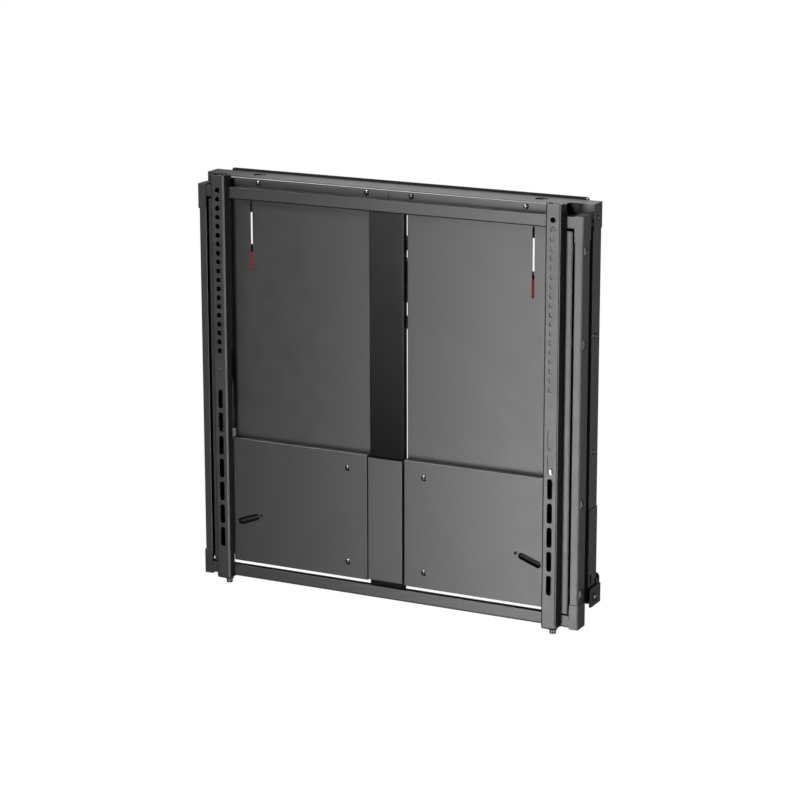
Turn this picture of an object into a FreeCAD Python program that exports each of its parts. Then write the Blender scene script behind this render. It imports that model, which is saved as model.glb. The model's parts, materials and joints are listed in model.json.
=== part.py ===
import FreeCAD, Part
import math
import os

# Height-adjustable wall mount for a large display: a shallow steel box hangs on two wall rails,
# and a lift frame with two display brackets rises in front of it, carried by springs.
# X runs to the right, Y into the wall, Z up. The wall plane is y = 0, and the origin is
# the middle of the upper wall bolt line. All sizes are in millimetres, drawn at the lowest position.

# Sheet metal
sheet = 1.5
panel_sheet = 2.0
bracket_sheet = 2.0
flap_sheet = 1.3
bend_radius = 2.0
frame_bend = 3.0
cover_bend = 0.8
edge_round = 1.2

# Depths, from the wall forward
rail_depth = 8.0
side_depth = 32.0
box_depth = 52.7
run_gap = 2.8
cross_depth = 12.5
bracket_depth = 16.0

# Wall box
box_half = 346.0
box_top = 27.0
box_height = 652.0
end_step = 1.0
corner_run = 2.0
front_drop = 28.0
end_drop = 22.0
rear_drop = 47.0
flap_drop = 42.0
lip_height = 3.0
lip_bend = 2.4
rear_flange = 30.0
bottom_web_height = 42.0
bottom_web_gap = 6.5
floor_lip = 15.0
flange_inset = 19.2
cheek_height = 157.0
side_slot_height = 16.0
side_slot_width = 8.0
side_slot_rise = 30.0
side_slot_setback = 5.0

# Panels on the front of the box
panel_seam = 1.0
panel_tuck = 3.6
panel_end_gap = 0.5
panel_notch_drop = 26.0
guide_slot_offset = 0.4
guide_slot_width = 2.2
guide_slot_end = 12.0
top_strip_height = 27.0
pointer_slot_width = 4.0
pointer_slot_length = 115.0
pointer_slot_end_gap = 2.0

# Wall rails
rail_sheet = 3.0
upper_rail_side_gap = 24.0
upper_rail_top = 30.0
upper_rail_height = 54.0
lower_rail_height = 50.0
lower_rail_rise = 32.0
rail_rib_inset = 9.0
wall_bolt_inset = 22.0
wall_bolt_inner_x = 100.0
wall_bolt_d = 9.0
rail_end_hole_d = 3.0
rail_end_hole_inset = 3.5
rail_end_hole_drop = 2.4
rail_corner = 4.0
ear_sheet = 2.0
ear_gap = 2.6
ear_reach = 43.0
ear_height = 32.0
ear_root = 12.0
ear_root_height = 16.6
ear_corner = 4.0
ear_root_corner = 8.0
ear_drop = 6.0
rail_link_inset = 6.0
rail_link_lap = 20.0

# Lift frame
frame_clearance = 2.2
frame_drop = 15.6
frame_overhang = 32.6
frame_depth = 28.0
frame_sheet = 2.0
cross_height = 20.0
gusset_height = 14.0
gusset_reach = 5.6
rail_width = 13.8
groove_width = 3.5
strip_width = 19.5
strip_thickness = 6.0
strip_end_gap = 3.0
cap_sheet = 1.5
cap_height = 41.0
side_hole_d = 15.5
side_hole_setback = 11.3
side_hole_top_drops = (55.4, 203.4)
side_hole_bottom_rises = (204.6, 54.6)

# Centre column and covers
column_half = 31.0
column_setback = 5.3
column_depth = 6.0
cover_inner_gap = 2.9
cover_side_gap = 16.5
cover_setback = 1.0
cover_height = 215.0
cover_bottom_gap = 8.2
centre_cover_lap = 0.3
centre_cover_proud = 1.6
centre_cover_bottom_rise = 3.2
centre_cover_top_drop = 3.0
centre_cover_seat = 24.0
slot_width = 11.6
slot_pitch = 30.4
slot_angle = 20.2
slot_inset = 28.5
slot_rise = 75.2
slot_rod_d = 8.6
slot_rod_outer = 18.0
slot_rod_gap = 1.0
slot_pin_reach = 26.5
slot_post_inset = 3.0
slot_pin_d = 4.6
slot_pin_play = 0.5
slot_post_d = 5.0
dimple_inset = 6.1
dimple_d = 5.0
dimple_depth = 0.4

# Display brackets
bracket_inset = 7.0
bracket_width = 26.0
bracket_rise = 20.6
bracket_corner = 3.5
hook_reach = 8.0
hook_step = 2.0
hook_web_gap = 0.6
hook_tooth = 5.0
hook_drop = 11.0
hook_gap = 0.2
vesa_hole_d = 8.8
vesa_hole_pitch = 15.0
vesa_first_hole = 25.0
vesa_slot_count = 7
vesa_slot_pitch = 40.0
vesa_slot_length = 33.3
vesa_slot_offset = 82.7
vesa_slot_rise = 74.1
foot_gap = 0.2
arrow_width = 9.0
arrow_height = 11.0
arrow_depth = 0.4
arrow_drop = 30.0

# Clamp screws under the display brackets
clamp_screw_d = 6.0
clamp_nut_d = 14.0
clamp_nut_height = 5.2
clamp_head_d = 10.5
clamp_head_height = 6.5
clamp_setback = 4.0
knurl_count = 18

# Telescopic slides
slide_sheet = 1.5
slide_lip = 2.5
slide_play = 0.3
glide_outer = 2.8
glide_inner = 1.9
glide_depth = 11.0
slide_depth = 22.0
slide_middle_depth = 19.0
slide_middle_setback = 4.0
slide_fixed_end_gap = 17.0
slide_middle_end_gap = 31.0
slide_start = 12.0
rib_thickness = 5.4
rib_end = 6.0

# Screws
screw_head_d = 9.9
screw_head_h = 2.2
screw_d = 4.0
screw_length = 6.0
recess_width = 1.0
recess_depth = 1.0
channel_screw_inner_x = 40.0
channel_screw_inset = 64.0
channel_screw_drop = 8.4
side_screw_first = 22.0
side_screw_pitch = 190.0
side_screw_count = 3
side_screw_setback = 18.0
cover_screw_side = 36.1
cover_screw_inset = 26.8
rail_bolt_inner_x = 90.0
rail_bolt_inset = 42.0
rail_bolt_d = 6.0
rail_bolt_head_d = 10.0
rail_bolt_head_h = 4.0
lock_screw_d = 6.0
lock_head_d = 16.0
lock_head_h = 6.3
lock_screw_setback = 14.0
lock_boss_d = 14.0
fit_gap = 0.05
loose_gap = 0.2

# Spring drive
adjust_inset = 50.3
adjust_setback = 29.7
adjust_travel = 60.0
adjust_end_gap = 1.8
adjust_screw_d = 12.0
adjust_screw_overrun = 6.5
adjust_head_d = 18.6
adjust_head_drop = 1.8
hex_socket = 8.0
hex_depth = 6.0
access_hole_d = 21.0
block_width = 30.0
block_depth = 34.6
block_height = 36.2
block_top_drop = 22.0
washer_d = 22.0
washer_height = 1.5
yoke_width = 24.0
yoke_depth = 17.0
yoke_height = 30.0
yoke_plate = 4.0
yoke_plate_half = 34.0
yoke_plate_drop = 14.0
pointer_width = 3.2
pointer_height = 27.6
pointer_drop = 4.4
pointer_setback = 0.5
spring_offset = 24.0
spring_d = 22.0
spring_bore = 15.0
spring_wire = 3.0
spring_cap = 3.0
spring_lead = 20.0
loop_play = 0.3
stud_d = 6.0
stud_head_d = 9.0
stud_head_h = 2.0

# Drum, idlers and belts
drum_drop = 126.0
drum_radius = 78.55
travel_ratio = 0.5
belt_width = 10.0
belt_thickness = 2.5
belt_play = 0.3
pulley_flange = 1.2
pulley_side_play = 0.3
belt_plane_gap = 4.2
hub_d = 36.0
drum_web = 5.0
drum_hole_count = 6
drum_hole_d = 26.0
drum_hole_radius = 48.0
drum_shaft_d = 12.0
shaft_base_h = 3.0
shaft_base_rise = 4.5
lift_idler_radius = 24.0
spring_idler_radius = 15.0
idler_rise = 32.0
idler_shaft_d = 10.0
spring_idler_shaft_d = 8.0
clip_height = 1.0
crossbar_height = 40.0
crossbar_depth = 16.0
crossbar_flange_gap = 29.7
arm_height = 30.0
arm_thickness = 3.0
arm_gap = 0.5
arm_rise = 57.0
arm_tongue_half = 20.0
clamp_tab = 4.0

# Spring beam and its guide rods
beam_height = 20.0
beam_thickness = 4.0
beam_rise = 47.0
beam_end = 22.3
rod_d = 10.0
rod_x = 150.0
rod_setback = 14.0
bush_width = 22.0
bush_depth = 11.6
bush_height = 26.0

# Carriage behind the covers
carriage_sheet = 2.0
carriage_panel_gap = 0.5
carriage_inset = 10.0
carriage_outer_gap = 0.5
angle_width = 19.0
carriage_step_lap = 10.0
angle_height = 15.6
angle_sheet = 3.0
angle_rise = 12.6
tongue_length = 160.0
tongue_play = 0.3
tongue_reach = 2.8

# Positions worked out from the sizes above
box_back = -rail_depth
side_front = box_back - side_depth
panel_front = box_back - box_depth
panel_back = panel_front + panel_sheet
frame_back_plane = panel_front - run_gap
frame_front = frame_back_plane - cross_depth
bracket_front = frame_front - bracket_depth
box_bottom = box_top - box_height
under_top = box_top - sheet
panel_top = under_top - lip_height
box_inner = box_half - sheet
frame_half = box_half - frame_clearance
frame_top = box_top - frame_drop
frame_bottom = box_bottom - frame_overhang
rail_inner = frame_half - rail_width
strip_outer = rail_inner - groove_width
strip_inner = strip_outer - strip_width
opening_top = frame_top - cross_height
opening_bottom = frame_bottom + cross_height
rib_centre = (strip_outer + strip_inner) / 2
end_half = strip_inner - end_step
panel_half = end_half - corner_run
panel_inner = column_half - panel_tuck
cover_inner = column_half + cover_inner_gap
cover_outer = panel_half - cover_side_gap
centre_cover_half = column_half + centre_cover_lap
adjust_x = panel_half - adjust_inset
slot_x = cover_outer - slot_inset
dimple_x = cover_inner + dimple_inset
cover_screw_x = cover_inner + cover_screw_side
channel_screw_x = (channel_screw_inner_x, panel_half - channel_screw_inset)
upper_rail_half = box_half - upper_rail_side_gap
wall_bolt_outer_x = upper_rail_half - wall_bolt_inset
rail_bolt_x = (rail_bolt_inner_x, upper_rail_half - rail_bolt_inset)
bracket_x = strip_inner - bracket_inset
bracket_top = frame_top + bracket_rise
bracket_bottom = frame_bottom - foot_gap - bracket_sheet
first_hole_z = bracket_top - vesa_first_hole
first_slot_z = bracket_bottom + vesa_slot_rise + vesa_slot_pitch * (vesa_slot_count - 1)
vesa_hole_count = round((first_hole_z - first_slot_z - vesa_slot_offset) / vesa_hole_pitch) + 1
last_hole_z = first_hole_z - vesa_hole_pitch * (vesa_hole_count - 1)
cover_front = frame_front + cover_setback
cover_bottom = opening_bottom + cover_bottom_gap
cover_top = cover_bottom + cover_height
centre_cover_front = frame_front - centre_cover_proud
column_front = frame_front + column_setback
carriage_back = panel_front - carriage_panel_gap
carriage_front = carriage_back - carriage_sheet
carriage_outer = strip_inner - carriage_outer_gap - slide_play - angle_sheet
adjust_y = panel_back + adjust_setback - panel_sheet
spring_radius = drum_radius * travel_ratio
drum_z = -drum_drop
idler_z = box_bottom + idler_rise
arm_front = panel_back + arm_gap
arm_back = arm_front + arm_thickness
lift_belt_front = arm_back + pulley_flange + 2 * pulley_side_play + 1.3
lift_belt_back = lift_belt_front + belt_width
spring_belt_front = lift_belt_back + belt_plane_gap
spring_belt_back = spring_belt_front + belt_width
bottom_web_front = box_back - sheet - bottom_web_gap
crossbar_back = box_back - sheet
crossbar_front = crossbar_back - crossbar_depth
crossbar_flange_half = adjust_x - yoke_plate_half - crossbar_flange_gap
beam_half = adjust_x + spring_offset + beam_end
rod_y = box_back - rod_setback
beam_bottom = box_bottom + beam_rise
arm_bottom = box_bottom + arm_rise
block_bottom = box_top - block_top_drop - block_height
yoke_top = block_bottom - adjust_end_gap - adjust_travel
yoke_bottom = yoke_top - yoke_height
upper_loop_z = yoke_bottom - yoke_plate_drop / 2
lower_loop_z = beam_bottom + beam_height / 2
lock_z = box_bottom - ear_drop + ear_height / 2
side_hole_heights = [frame_top - drop for drop in side_hole_top_drops]
side_hole_heights += [frame_bottom + rise for rise in side_hole_bottom_rises]


def box(x0, x1, y0, y1, z0, z1):
    corner = FreeCAD.Vector(min(x0, x1), min(y0, y1), min(z0, z1))
    return Part.makeBox(abs(x1 - x0), abs(y1 - y0), abs(z1 - z0), corner)


def rod_along_x(x0, x1, y, z, d):
    return Part.makeCylinder(d / 2, x1 - x0, FreeCAD.Vector(x0, y, z), FreeCAD.Vector(1, 0, 0))


def rod_along_y(x, y0, y1, z, d):
    return Part.makeCylinder(d / 2, y1 - y0, FreeCAD.Vector(x, y0, z), FreeCAD.Vector(0, 1, 0))


def rod_along_z(x, y, z0, z1, d):
    return Part.makeCylinder(d / 2, z1 - z0, FreeCAD.Vector(x, y, z0), FreeCAD.Vector(0, 0, 1))


def plate_outline(points, direction):
    """A flat plate: the closed outline through the points, pushed along the direction."""
    corners = [FreeCAD.Vector(*p) for p in points]
    wire = Part.makePolygon(corners + corners[:1])
    return Part.Face(wire).extrude(FreeCAD.Vector(*direction))


def union(shapes):
    shapes = list(shapes)
    fused = shapes[0].multiFuse(shapes[1:]) if len(shapes) > 1 else shapes[0]
    return fused.removeSplitter()


def cut_all(shape, tools):
    tools = list(tools)
    return shape.cut(Part.makeCompound(tools)) if tools else shape


def mirrored(shape):
    return shape.mirror(FreeCAD.Vector(0, 0, 0), FreeCAD.Vector(1, 0, 0))


def both_sides(shape):
    return [shape, mirrored(shape)]


def round_edges(shape, picked, radius):
    """Rounds the straight edges for which picked(start, end) is true."""
    edges = [e for e in shape.Edges if len(e.Vertexes) == 2 and picked(*[v.Point for v in e.Vertexes])]
    return shape.makeFillet(radius, edges) if edges else shape


def near(a, b):
    return abs(a - b) < 1e-6


def slot_tool(x, z, length, width, y0, y1, angle=90.0):
    """A round-ended slot through a plate that faces forward, centred on (x, z)."""
    half = (length - width) / 2
    body = box(-half, half, y0, y1, -width / 2, width / 2)
    ends = [rod_along_y(s * half, y0, y1, 0, width) for s in (-1, 1)]
    tool = union([body] + ends)
    tool.rotate(FreeCAD.Vector(0, 0, 0), FreeCAD.Vector(0, 1, 0), -angle)
    tool.translate(FreeCAD.Vector(x, 0, z))
    return tool


def pan_screw(head_d, head_h, shank_d, length):
    """A domed screw with a cross recess: the seat is at the origin, the head points to -Y."""
    r = head_d / 2
    dome_r = (r * r + head_h * head_h) / (2 * head_h)
    ball = Part.makeSphere(dome_r, FreeCAD.Vector(0, dome_r - head_h, 0))
    head = ball.common(rod_along_y(0, -head_h, 0, 0, head_d))
    shank = rod_along_y(0, 0, length, 0, shank_d)
    reach = head_d * 0.3
    half = recess_width / 2
    bars = [box(-reach, reach, -head_h, recess_depth - head_h, -half, half)]
    bars.append(box(-half, half, -head_h, recess_depth - head_h, -reach, reach))
    return union([head, shank]).cut(union(bars))


def placed(shape, x, y, z, turn=0.0):
    """A copy of the shape, turned about Z and moved to the point."""
    copy = shape.copy()
    copy.rotate(FreeCAD.Vector(0, 0, 0), FreeCAD.Vector(0, 0, 1), turn)
    copy.translate(FreeCAD.Vector(x, y, z))
    return copy


def hex_tool(x, y, z0, z1, across):
    """A hexagonal prism along Z, given its size across the flats."""
    r = across / math.sqrt(3)
    corners = [(x + r * math.cos(math.radians(60 * i)), y + r * math.sin(math.radians(60 * i)), z0)
               for i in range(6)]
    return plate_outline(corners, (0, 0, z1 - z0))


# The wall box

def make_top_channel():
    w = box_half + flap_sheet
    outline = [(-w, box_back), (-w, side_front), (-end_half, side_front), (-panel_half, panel_front)]
    outline += [(panel_half, panel_front), (end_half, side_front), (w, side_front), (w, box_back)]
    top = plate_outline([(x, y, panel_top) for x, y in outline], (0, 0, box_top - panel_top))
    top = round_edges(top, lambda a, b: near(a.y, panel_front) and near(b.y, panel_front)
                      and near(a.z, box_top) and near(b.z, box_top), lip_bend)
    top = top.cut(box(-2 * w, 2 * w, panel_back, sheet, panel_top - sheet, under_top))
    x1 = panel_half - flange_inset
    front = box(-x1, x1, panel_back, panel_back + sheet, under_top - front_drop, under_top)
    rear = box(-box_inner, box_inner, box_back - sheet, box_back, under_top - rear_drop, under_top)
    end = box(end_half, box_inner, side_front, side_front + sheet, under_top - end_drop, under_top)
    flap = box(box_half, w, side_front, box_back, box_top - flap_drop, under_top)
    body = union([top, front, rear] + both_sides(end) + both_sides(flap))
    holes = [rod_along_z(s * adjust_x, adjust_y, under_top - sheet, box_top + sheet, access_hole_d)
             for s in (-1, 1)]
    for x in channel_screw_x:
        z = box_top - channel_screw_drop
        hole = rod_along_y(x, panel_back - sheet, panel_back + 3 * sheet, z, screw_d + 2 * fit_gap)
        holes += both_sides(hole)
    for x in rail_bolt_x:
        for z in rail_rib_heights(upper_rail_top, upper_rail_height):
            holes += both_sides(rod_along_y(x, box_back - 3 * sheet, box_back + sheet, z,
                                            rail_bolt_d + 2 * fit_gap))
    for z in side_screw_heights():
        y = box_back - side_screw_setback
        holes += both_sides(rod_along_x(box_half - sheet, w + sheet, y, z, screw_d + 2 * fit_gap))
    return cut_all(body, holes)


def side_screw_heights():
    return [box_top - side_screw_first - side_screw_pitch * i for i in range(side_screw_count)]


def make_side_channel():
    web = box(box_inner, box_half, side_front, box_back, box_bottom, under_top)
    front = box(end_half, box_half, side_front, side_front + sheet, box_bottom, under_top - end_drop)
    rear_top = under_top - rear_drop
    rear = box(box_half - rear_flange, box_half, box_back - sheet, box_back, box_bottom, rear_top)
    body = union([web, front, rear])
    return cut_all(body, side_openings())


def side_openings():
    """The holes and the slot that pass through the side wall and its bottom cheek."""
    x0 = box_inner - sheet
    x1 = box_half + 2 * flap_sheet
    y = box_back - side_screw_setback
    tools = [rod_along_x(x0, x1, y, z, screw_d + 2 * fit_gap) for z in side_screw_heights()]
    slot_y = side_front + side_slot_setback
    slot_z = box_bottom + side_slot_rise
    tools.append(box(x0, x1, slot_y, slot_y + side_slot_width, slot_z, slot_z + side_slot_height))
    tools.append(rod_along_x(x0, x1, lock_y(), lock_z, lock_screw_d + 2 * fit_gap))
    return tools


def lock_y():
    return side_front + lock_screw_setback


def make_side_cheek():
    body = box(box_half, box_half + flap_sheet, side_front, box_back, box_bottom,
               box_bottom + cheek_height)
    return cut_all(body, side_openings())


def make_bottom_rail():
    floor_top = box_bottom + sheet
    rear_floor = box(-box_inner, box_inner, side_front + sheet, box_back - sheet, box_bottom, floor_top)
    x1 = panel_half - flange_inset
    front_floor = box(-x1, x1, panel_back, side_front + sheet, box_bottom, floor_top)
    web = box(-box_inner, box_inner, bottom_web_front, bottom_web_front + sheet, box_bottom,
              box_bottom + bottom_web_height)
    lip = box(-x1, x1, panel_back, panel_back + sheet, box_bottom, floor_top + floor_lip)
    body = union([rear_floor, front_floor, web, lip])
    return cut_all(body, side_openings())


def panel_flange():
    """The flange at the panel's end that reaches back to the face of the side channel."""
    x1 = end_half - panel_end_gap
    run = x1 - panel_half
    rise = side_front - panel_front
    length = math.hypot(run, rise)
    back = (-panel_sheet * rise / length, panel_sheet * run / length)
    inner_x = x1 + back[0] - back[1] * run / rise
    outline = [(panel_half, panel_front), (x1, side_front), (inner_x, side_front)]
    outline += [(panel_half - panel_sheet, panel_back), (panel_half - panel_sheet, panel_front)]
    return plate_outline([(x, y, box_bottom) for x, y in outline], (0, 0, panel_top - box_bottom))


def make_panel():
    """The right front panel: a tall sheet, notched at its upper corner, with a strip over the gap."""
    main = box(panel_inner, panel_half, panel_front, panel_back, box_bottom, panel_top)
    strip = box(panel_seam / 2, panel_inner, panel_front, panel_back, panel_top - top_strip_height,
                panel_top)
    body = union([main, strip, panel_flange()])
    y0 = panel_front - sheet
    y1 = panel_back + sheet
    slot_bottom = yoke_top - pointer_drop - pointer_height - pointer_slot_end_gap
    slot_z = slot_bottom + pointer_slot_length / 2
    tools = [slot_tool(adjust_x, slot_z, pointer_slot_length, pointer_slot_width, y0, y1)]
    x0 = column_half + guide_slot_offset
    tools.append(box(x0, x0 + guide_slot_width, y0, y1, box_bottom + guide_slot_end,
                     opening_top - run_gap))
    for x in channel_screw_x:
        tools.append(rod_along_y(x, y0, y1, box_top - channel_screw_drop, screw_d + 2 * fit_gap))
    tools.append(box(panel_half - flange_inset, end_half, y0, side_front, box_top - panel_notch_drop,
                     box_top))
    return cut_all(body, tools)


def make_crossbar():
    z0 = drum_z - crossbar_height / 2
    z1 = z0 + crossbar_height
    w = crossbar_flange_half
    web = box(-box_inner, box_inner, crossbar_back - sheet, crossbar_back, z0, z1)
    lower = box(-w, w, crossbar_front, crossbar_back, z0, z0 + sheet)
    upper = box(-w, w, crossbar_front, crossbar_back, z1 - sheet, z1)
    return union([web, lower, upper])


# The wall rails

def rail_rib_heights(top, height):
    inset = rail_rib_inset + rail_sheet / 2
    return [top - inset, top - height + inset]


def make_wall_rail(half, height, top, bolt_z):
    """A rail for the wall: a web with two pressed ribs, and the wall bolt holes at bolt_z."""
    web = box(-half, half, -rail_sheet, 0, top - height, top)
    ribs = [box(-half, half, -rail_depth, 0, z - rail_sheet * 1.5, z + rail_sheet * 1.5)
            for z in rail_rib_heights(top, height)]
    body = union([web] + ribs)
    holes = []
    for x in (wall_bolt_inner_x, wall_bolt_outer_x):
        holes += both_sides(rod_along_y(x, -rail_depth - sheet, sheet, bolt_z, wall_bolt_d))
    for x in rail_bolt_x:
        for z in rail_rib_heights(top, height):
            holes += both_sides(rod_along_y(x, -rail_depth - sheet, sheet, z, rail_bolt_d + 2 * fit_gap))
    return cut_all(body, holes)


def make_upper_rail():
    body = make_wall_rail(upper_rail_half, upper_rail_height, upper_rail_top, 0.0)
    body = round_edges(body, lambda a, b: near(a.x, b.x) and near(abs(a.x), upper_rail_half)
                       and near(a.z, b.z) and near(a.z, upper_rail_top), rail_corner)
    x = upper_rail_half - rail_end_hole_inset
    z = upper_rail_top - rail_end_hole_drop
    return body.cut(rod_along_y(x, -rail_sheet - sheet, sheet, z, rail_end_hole_d))


def make_ear():
    """The bent end of the lower rail, which reaches forward beside the box."""
    x0 = box_half + flap_sheet + ear_gap
    z0 = box_bottom - ear_drop
    z1 = z0 + ear_height
    root_top = z1 + ear_root_height
    tab = box(x0, x0 + ear_sheet, -ear_reach, 0, z0, z1)
    tab = round_edges(tab, lambda a, b: near(a.y, -ear_reach) and near(b.y, -ear_reach)
                      and not near(a.x, b.x), ear_corner)
    root = box(x0 - ear_sheet, x0, -ear_root, 0, z0 + ear_corner, root_top - ear_root_corner)
    link = box(box_half - rail_link_lap, x0, -rail_sheet, 0, z0 + ear_corner, root_top)
    link = round_edges(link, lambda a, b: near(a.x, x0) and near(b.x, x0) and near(a.z, root_top)
                       and near(b.z, root_top), ear_root_corner)
    boss = rod_along_x(box_half + flap_sheet, x0, lock_y(), lock_z, lock_boss_d)
    ear = union([tab, root, boss, link])
    hole = rod_along_x(box_half, x0 + 2 * ear_sheet, lock_y(), lock_z, lock_screw_d + 2 * fit_gap)
    return ear.cut(hole)


def make_lower_rail():
    centre = box_bottom + lower_rail_rise
    rail = make_wall_rail(box_half - rail_link_inset, lower_rail_height,
                          centre + lower_rail_height / 2, centre)
    return union([rail] + both_sides(make_ear()))


def make_lock_screw():
    x_seat = box_half + flap_sheet + ear_gap + ear_sheet
    length = x_seat - box_inner + 2 * sheet
    screw = pan_screw(lock_head_d, lock_head_h, lock_screw_d, length)
    return placed(screw, x_seat, lock_y(), lock_z, 90.0)


# Screws of the box and the covers

def make_channel_screws():
    screw = pan_screw(screw_head_d, screw_head_h, screw_d, screw_length)
    solids = []
    for x in channel_screw_x:
        solids += both_sides(placed(screw, x, panel_front, box_top - channel_screw_drop))
    return Part.makeCompound(solids)


def make_side_screws():
    screw = pan_screw(screw_head_d, screw_head_h, screw_d, screw_length)
    solids = []
    for i, z in enumerate(side_screw_heights()):
        seat = box_half + (flap_sheet if i == 0 else 0.0)
        solids += both_sides(placed(screw, seat, box_back - side_screw_setback, z, 90.0))
    return Part.makeCompound(solids)


def make_rail_bolts():
    """Bolts from inside the box into the ribs of the upper wall rail."""
    seat = box_back - sheet
    solids = []
    for x in rail_bolt_x:
        for z in rail_rib_heights(upper_rail_top, upper_rail_height):
            head = rod_along_y(x, seat - rail_bolt_head_h, seat, z, rail_bolt_head_d)
            shank = rod_along_y(x, seat, -rail_sheet / 2, z, rail_bolt_d)
            solids += both_sides(union([head, shank]))
    return Part.makeCompound(solids)


def cover_screw_heights():
    return [cover_bottom + cover_screw_inset, cover_top - cover_screw_inset]


def make_cover_screws():
    length = carriage_back - cover_front
    screw = pan_screw(screw_head_d, screw_head_h, screw_d, length)
    solids = []
    for z in cover_screw_heights():
        solids += both_sides(placed(screw, cover_screw_x, cover_front, z))
    return Part.makeCompound(solids)


# The lift frame

def make_cross_member(z0):
    """A channel open at the top, which spans the whole frame."""
    z1 = z0 + cross_height
    front = box(-frame_half, frame_half, frame_front, frame_front + frame_sheet, z0, z1)
    floor = box(-frame_half, frame_half, frame_front, frame_back_plane, z0, z0 + frame_sheet)
    back = box(-frame_half, frame_half, frame_back_plane - frame_sheet, frame_back_plane, z0, z1)
    body = union([front, floor, back])
    return round_edges(body, lambda a, b: near(a.y, frame_front) and near(b.y, frame_front)
                       and near(a.z, z0) and near(b.z, z0), frame_bend)


def make_bottom_cross_member():
    """The bottom cross member, with a small gusset behind the groove at each end."""
    z1 = frame_bottom + cross_height
    gusset = box(rail_inner - gusset_reach, rail_inner + frame_sheet, frame_back_plane - frame_sheet,
                 frame_back_plane, z1 - frame_sheet, z1 + gusset_height)
    return union([make_cross_member(frame_bottom)] + both_sides(gusset))


def make_frame_rail():
    """The right upright of the lift frame, open towards the middle."""
    x1 = frame_half
    x0 = rail_inner
    y1 = frame_front + frame_depth
    front = box(x0, x1, frame_front, frame_front + frame_sheet, opening_bottom, opening_top)
    side = box(x1 - frame_sheet, x1, frame_front, y1, opening_bottom, opening_top)
    rear = box(x0 + frame_sheet, x1, y1 - frame_sheet, y1, opening_bottom, opening_top)
    body = union([front, side, rear])
    for x, radius in ((x1, bend_radius), (x0, edge_round)):
        body = round_edges(body, lambda a, b: near(a.x, x) and near(b.x, x) and near(a.y, frame_front)
                           and near(b.y, frame_front), radius)
    holes = [rod_along_x(x1 - 2 * frame_sheet, x1 + frame_sheet, frame_front + side_hole_setback, z,
                         side_hole_d) for z in side_hole_heights]
    return cut_all(body, holes)


def make_corner_caps():
    """Four caps that wrap the corners of the lift frame."""
    x0 = rail_inner
    x1 = frame_half + cap_sheet
    y0 = frame_front - cap_sheet
    y1 = frame_front + frame_depth
    solids = []
    for end, sign in ((frame_top, 1), (frame_bottom, -1)):
        outer = end + sign * cap_sheet
        inner = end - sign * (cap_height - cap_sheet)
        front = box(x0, x1, y0, frame_front, inner, outer)
        side = box(frame_half, x1, y0, y1, inner, outer)
        top = box(x0, x1, y0, y1, end, outer)
        cap = union([front, side, top])
        cap = round_edges(cap, lambda a, b: near(a.x, x1) and near(b.x, x1) and near(a.y, y0)
                          and near(b.y, y0), bend_radius)
        solids += both_sides(cap)
    return Part.makeCompound(solids)


def make_column():
    """The centre column: a shallow channel, deeper where the carriage plates meet it."""
    x1 = column_half
    front = box(-x1, x1, column_front, column_front + sheet, opening_bottom, opening_top)
    wall = box(x1 - sheet, x1, column_front, column_front + column_depth, opening_bottom, opening_top)
    foot = box(x1 - sheet, x1, column_front, carriage_back, opening_bottom, cover_top - carriage_inset)
    body = union([front] + both_sides(wall) + both_sides(foot))
    return round_edges(body, lambda a, b: near(abs(a.x), x1) and near(a.x, b.x)
                       and near(a.y, column_front) and near(b.y, column_front), bend_radius)


def cover_slot_tool(y0, y1):
    return slot_tool(slot_x, cover_bottom + slot_rise, slot_pitch + slot_width, slot_width, y0, y1,
                     180.0 - slot_angle)


def slot_point(distance):
    """A point on the slanted slot's line: the distance is positive towards the column."""
    a = math.radians(slot_angle)
    return slot_x - distance * math.cos(a), cover_bottom + slot_rise + distance * math.sin(a)


def make_lower_cover():
    """The right lower cover: a shallow tray whose rim stands on the carriage plate."""
    y0 = cover_front
    y1 = carriage_front
    tray = box(cover_inner, cover_outer, y0, y1, cover_bottom, cover_top)
    tray = round_edges(tray, lambda a, b: near(a.y, y0) and near(b.y, y0), cover_bend)
    hollow = box(cover_inner + sheet, cover_outer - sheet, y0 + sheet, y1 + sheet, cover_bottom + sheet,
                 cover_top - sheet)
    body = tray.cut(hollow)
    tools = [cover_slot_tool(y0 - sheet, y0 + 2 * sheet)]
    x, z = slot_point(slot_pin_reach)
    tools.append(rod_along_y(x, y0 - sheet, y0 + 2 * sheet, z, slot_pin_d + 2 * slot_pin_play))
    x, z = slot_point(-slot_pin_reach)
    tools.append(rod_along_y(x, y0 - sheet, y0 + dimple_depth, z, slot_pin_d))
    for z in cover_screw_heights():
        tools.append(rod_along_y(cover_screw_x, y0 - sheet, y0 + 2 * sheet, z, screw_d + 2 * fit_gap))
        tools.append(rod_along_y(dimple_x, y0 - sheet, y0 + dimple_depth, z, dimple_d))
    return cut_all(body, tools)


def make_slot_rod():
    """The round rod behind the slanted slot, on two posts, with a pin through the cover."""
    a = math.radians(slot_angle)
    y = cover_front + sheet + slot_rod_gap + slot_rod_d / 2
    x0, z0 = slot_point(-slot_rod_outer)
    direction = FreeCAD.Vector(-math.cos(a), 0, math.sin(a))
    length = slot_rod_outer + slot_pin_reach + slot_post_inset
    pieces = [Part.makeCylinder(slot_rod_d / 2, length, FreeCAD.Vector(x0, y, z0), direction)]
    for reach in (slot_post_inset - slot_rod_outer, slot_pin_reach):
        x, z = slot_point(reach)
        pieces.append(rod_along_y(x, y, carriage_front, z, slot_post_d))
    pieces.append(rod_along_y(x, cover_front + dimple_depth, y, z, slot_pin_d))
    return union(pieces)


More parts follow.
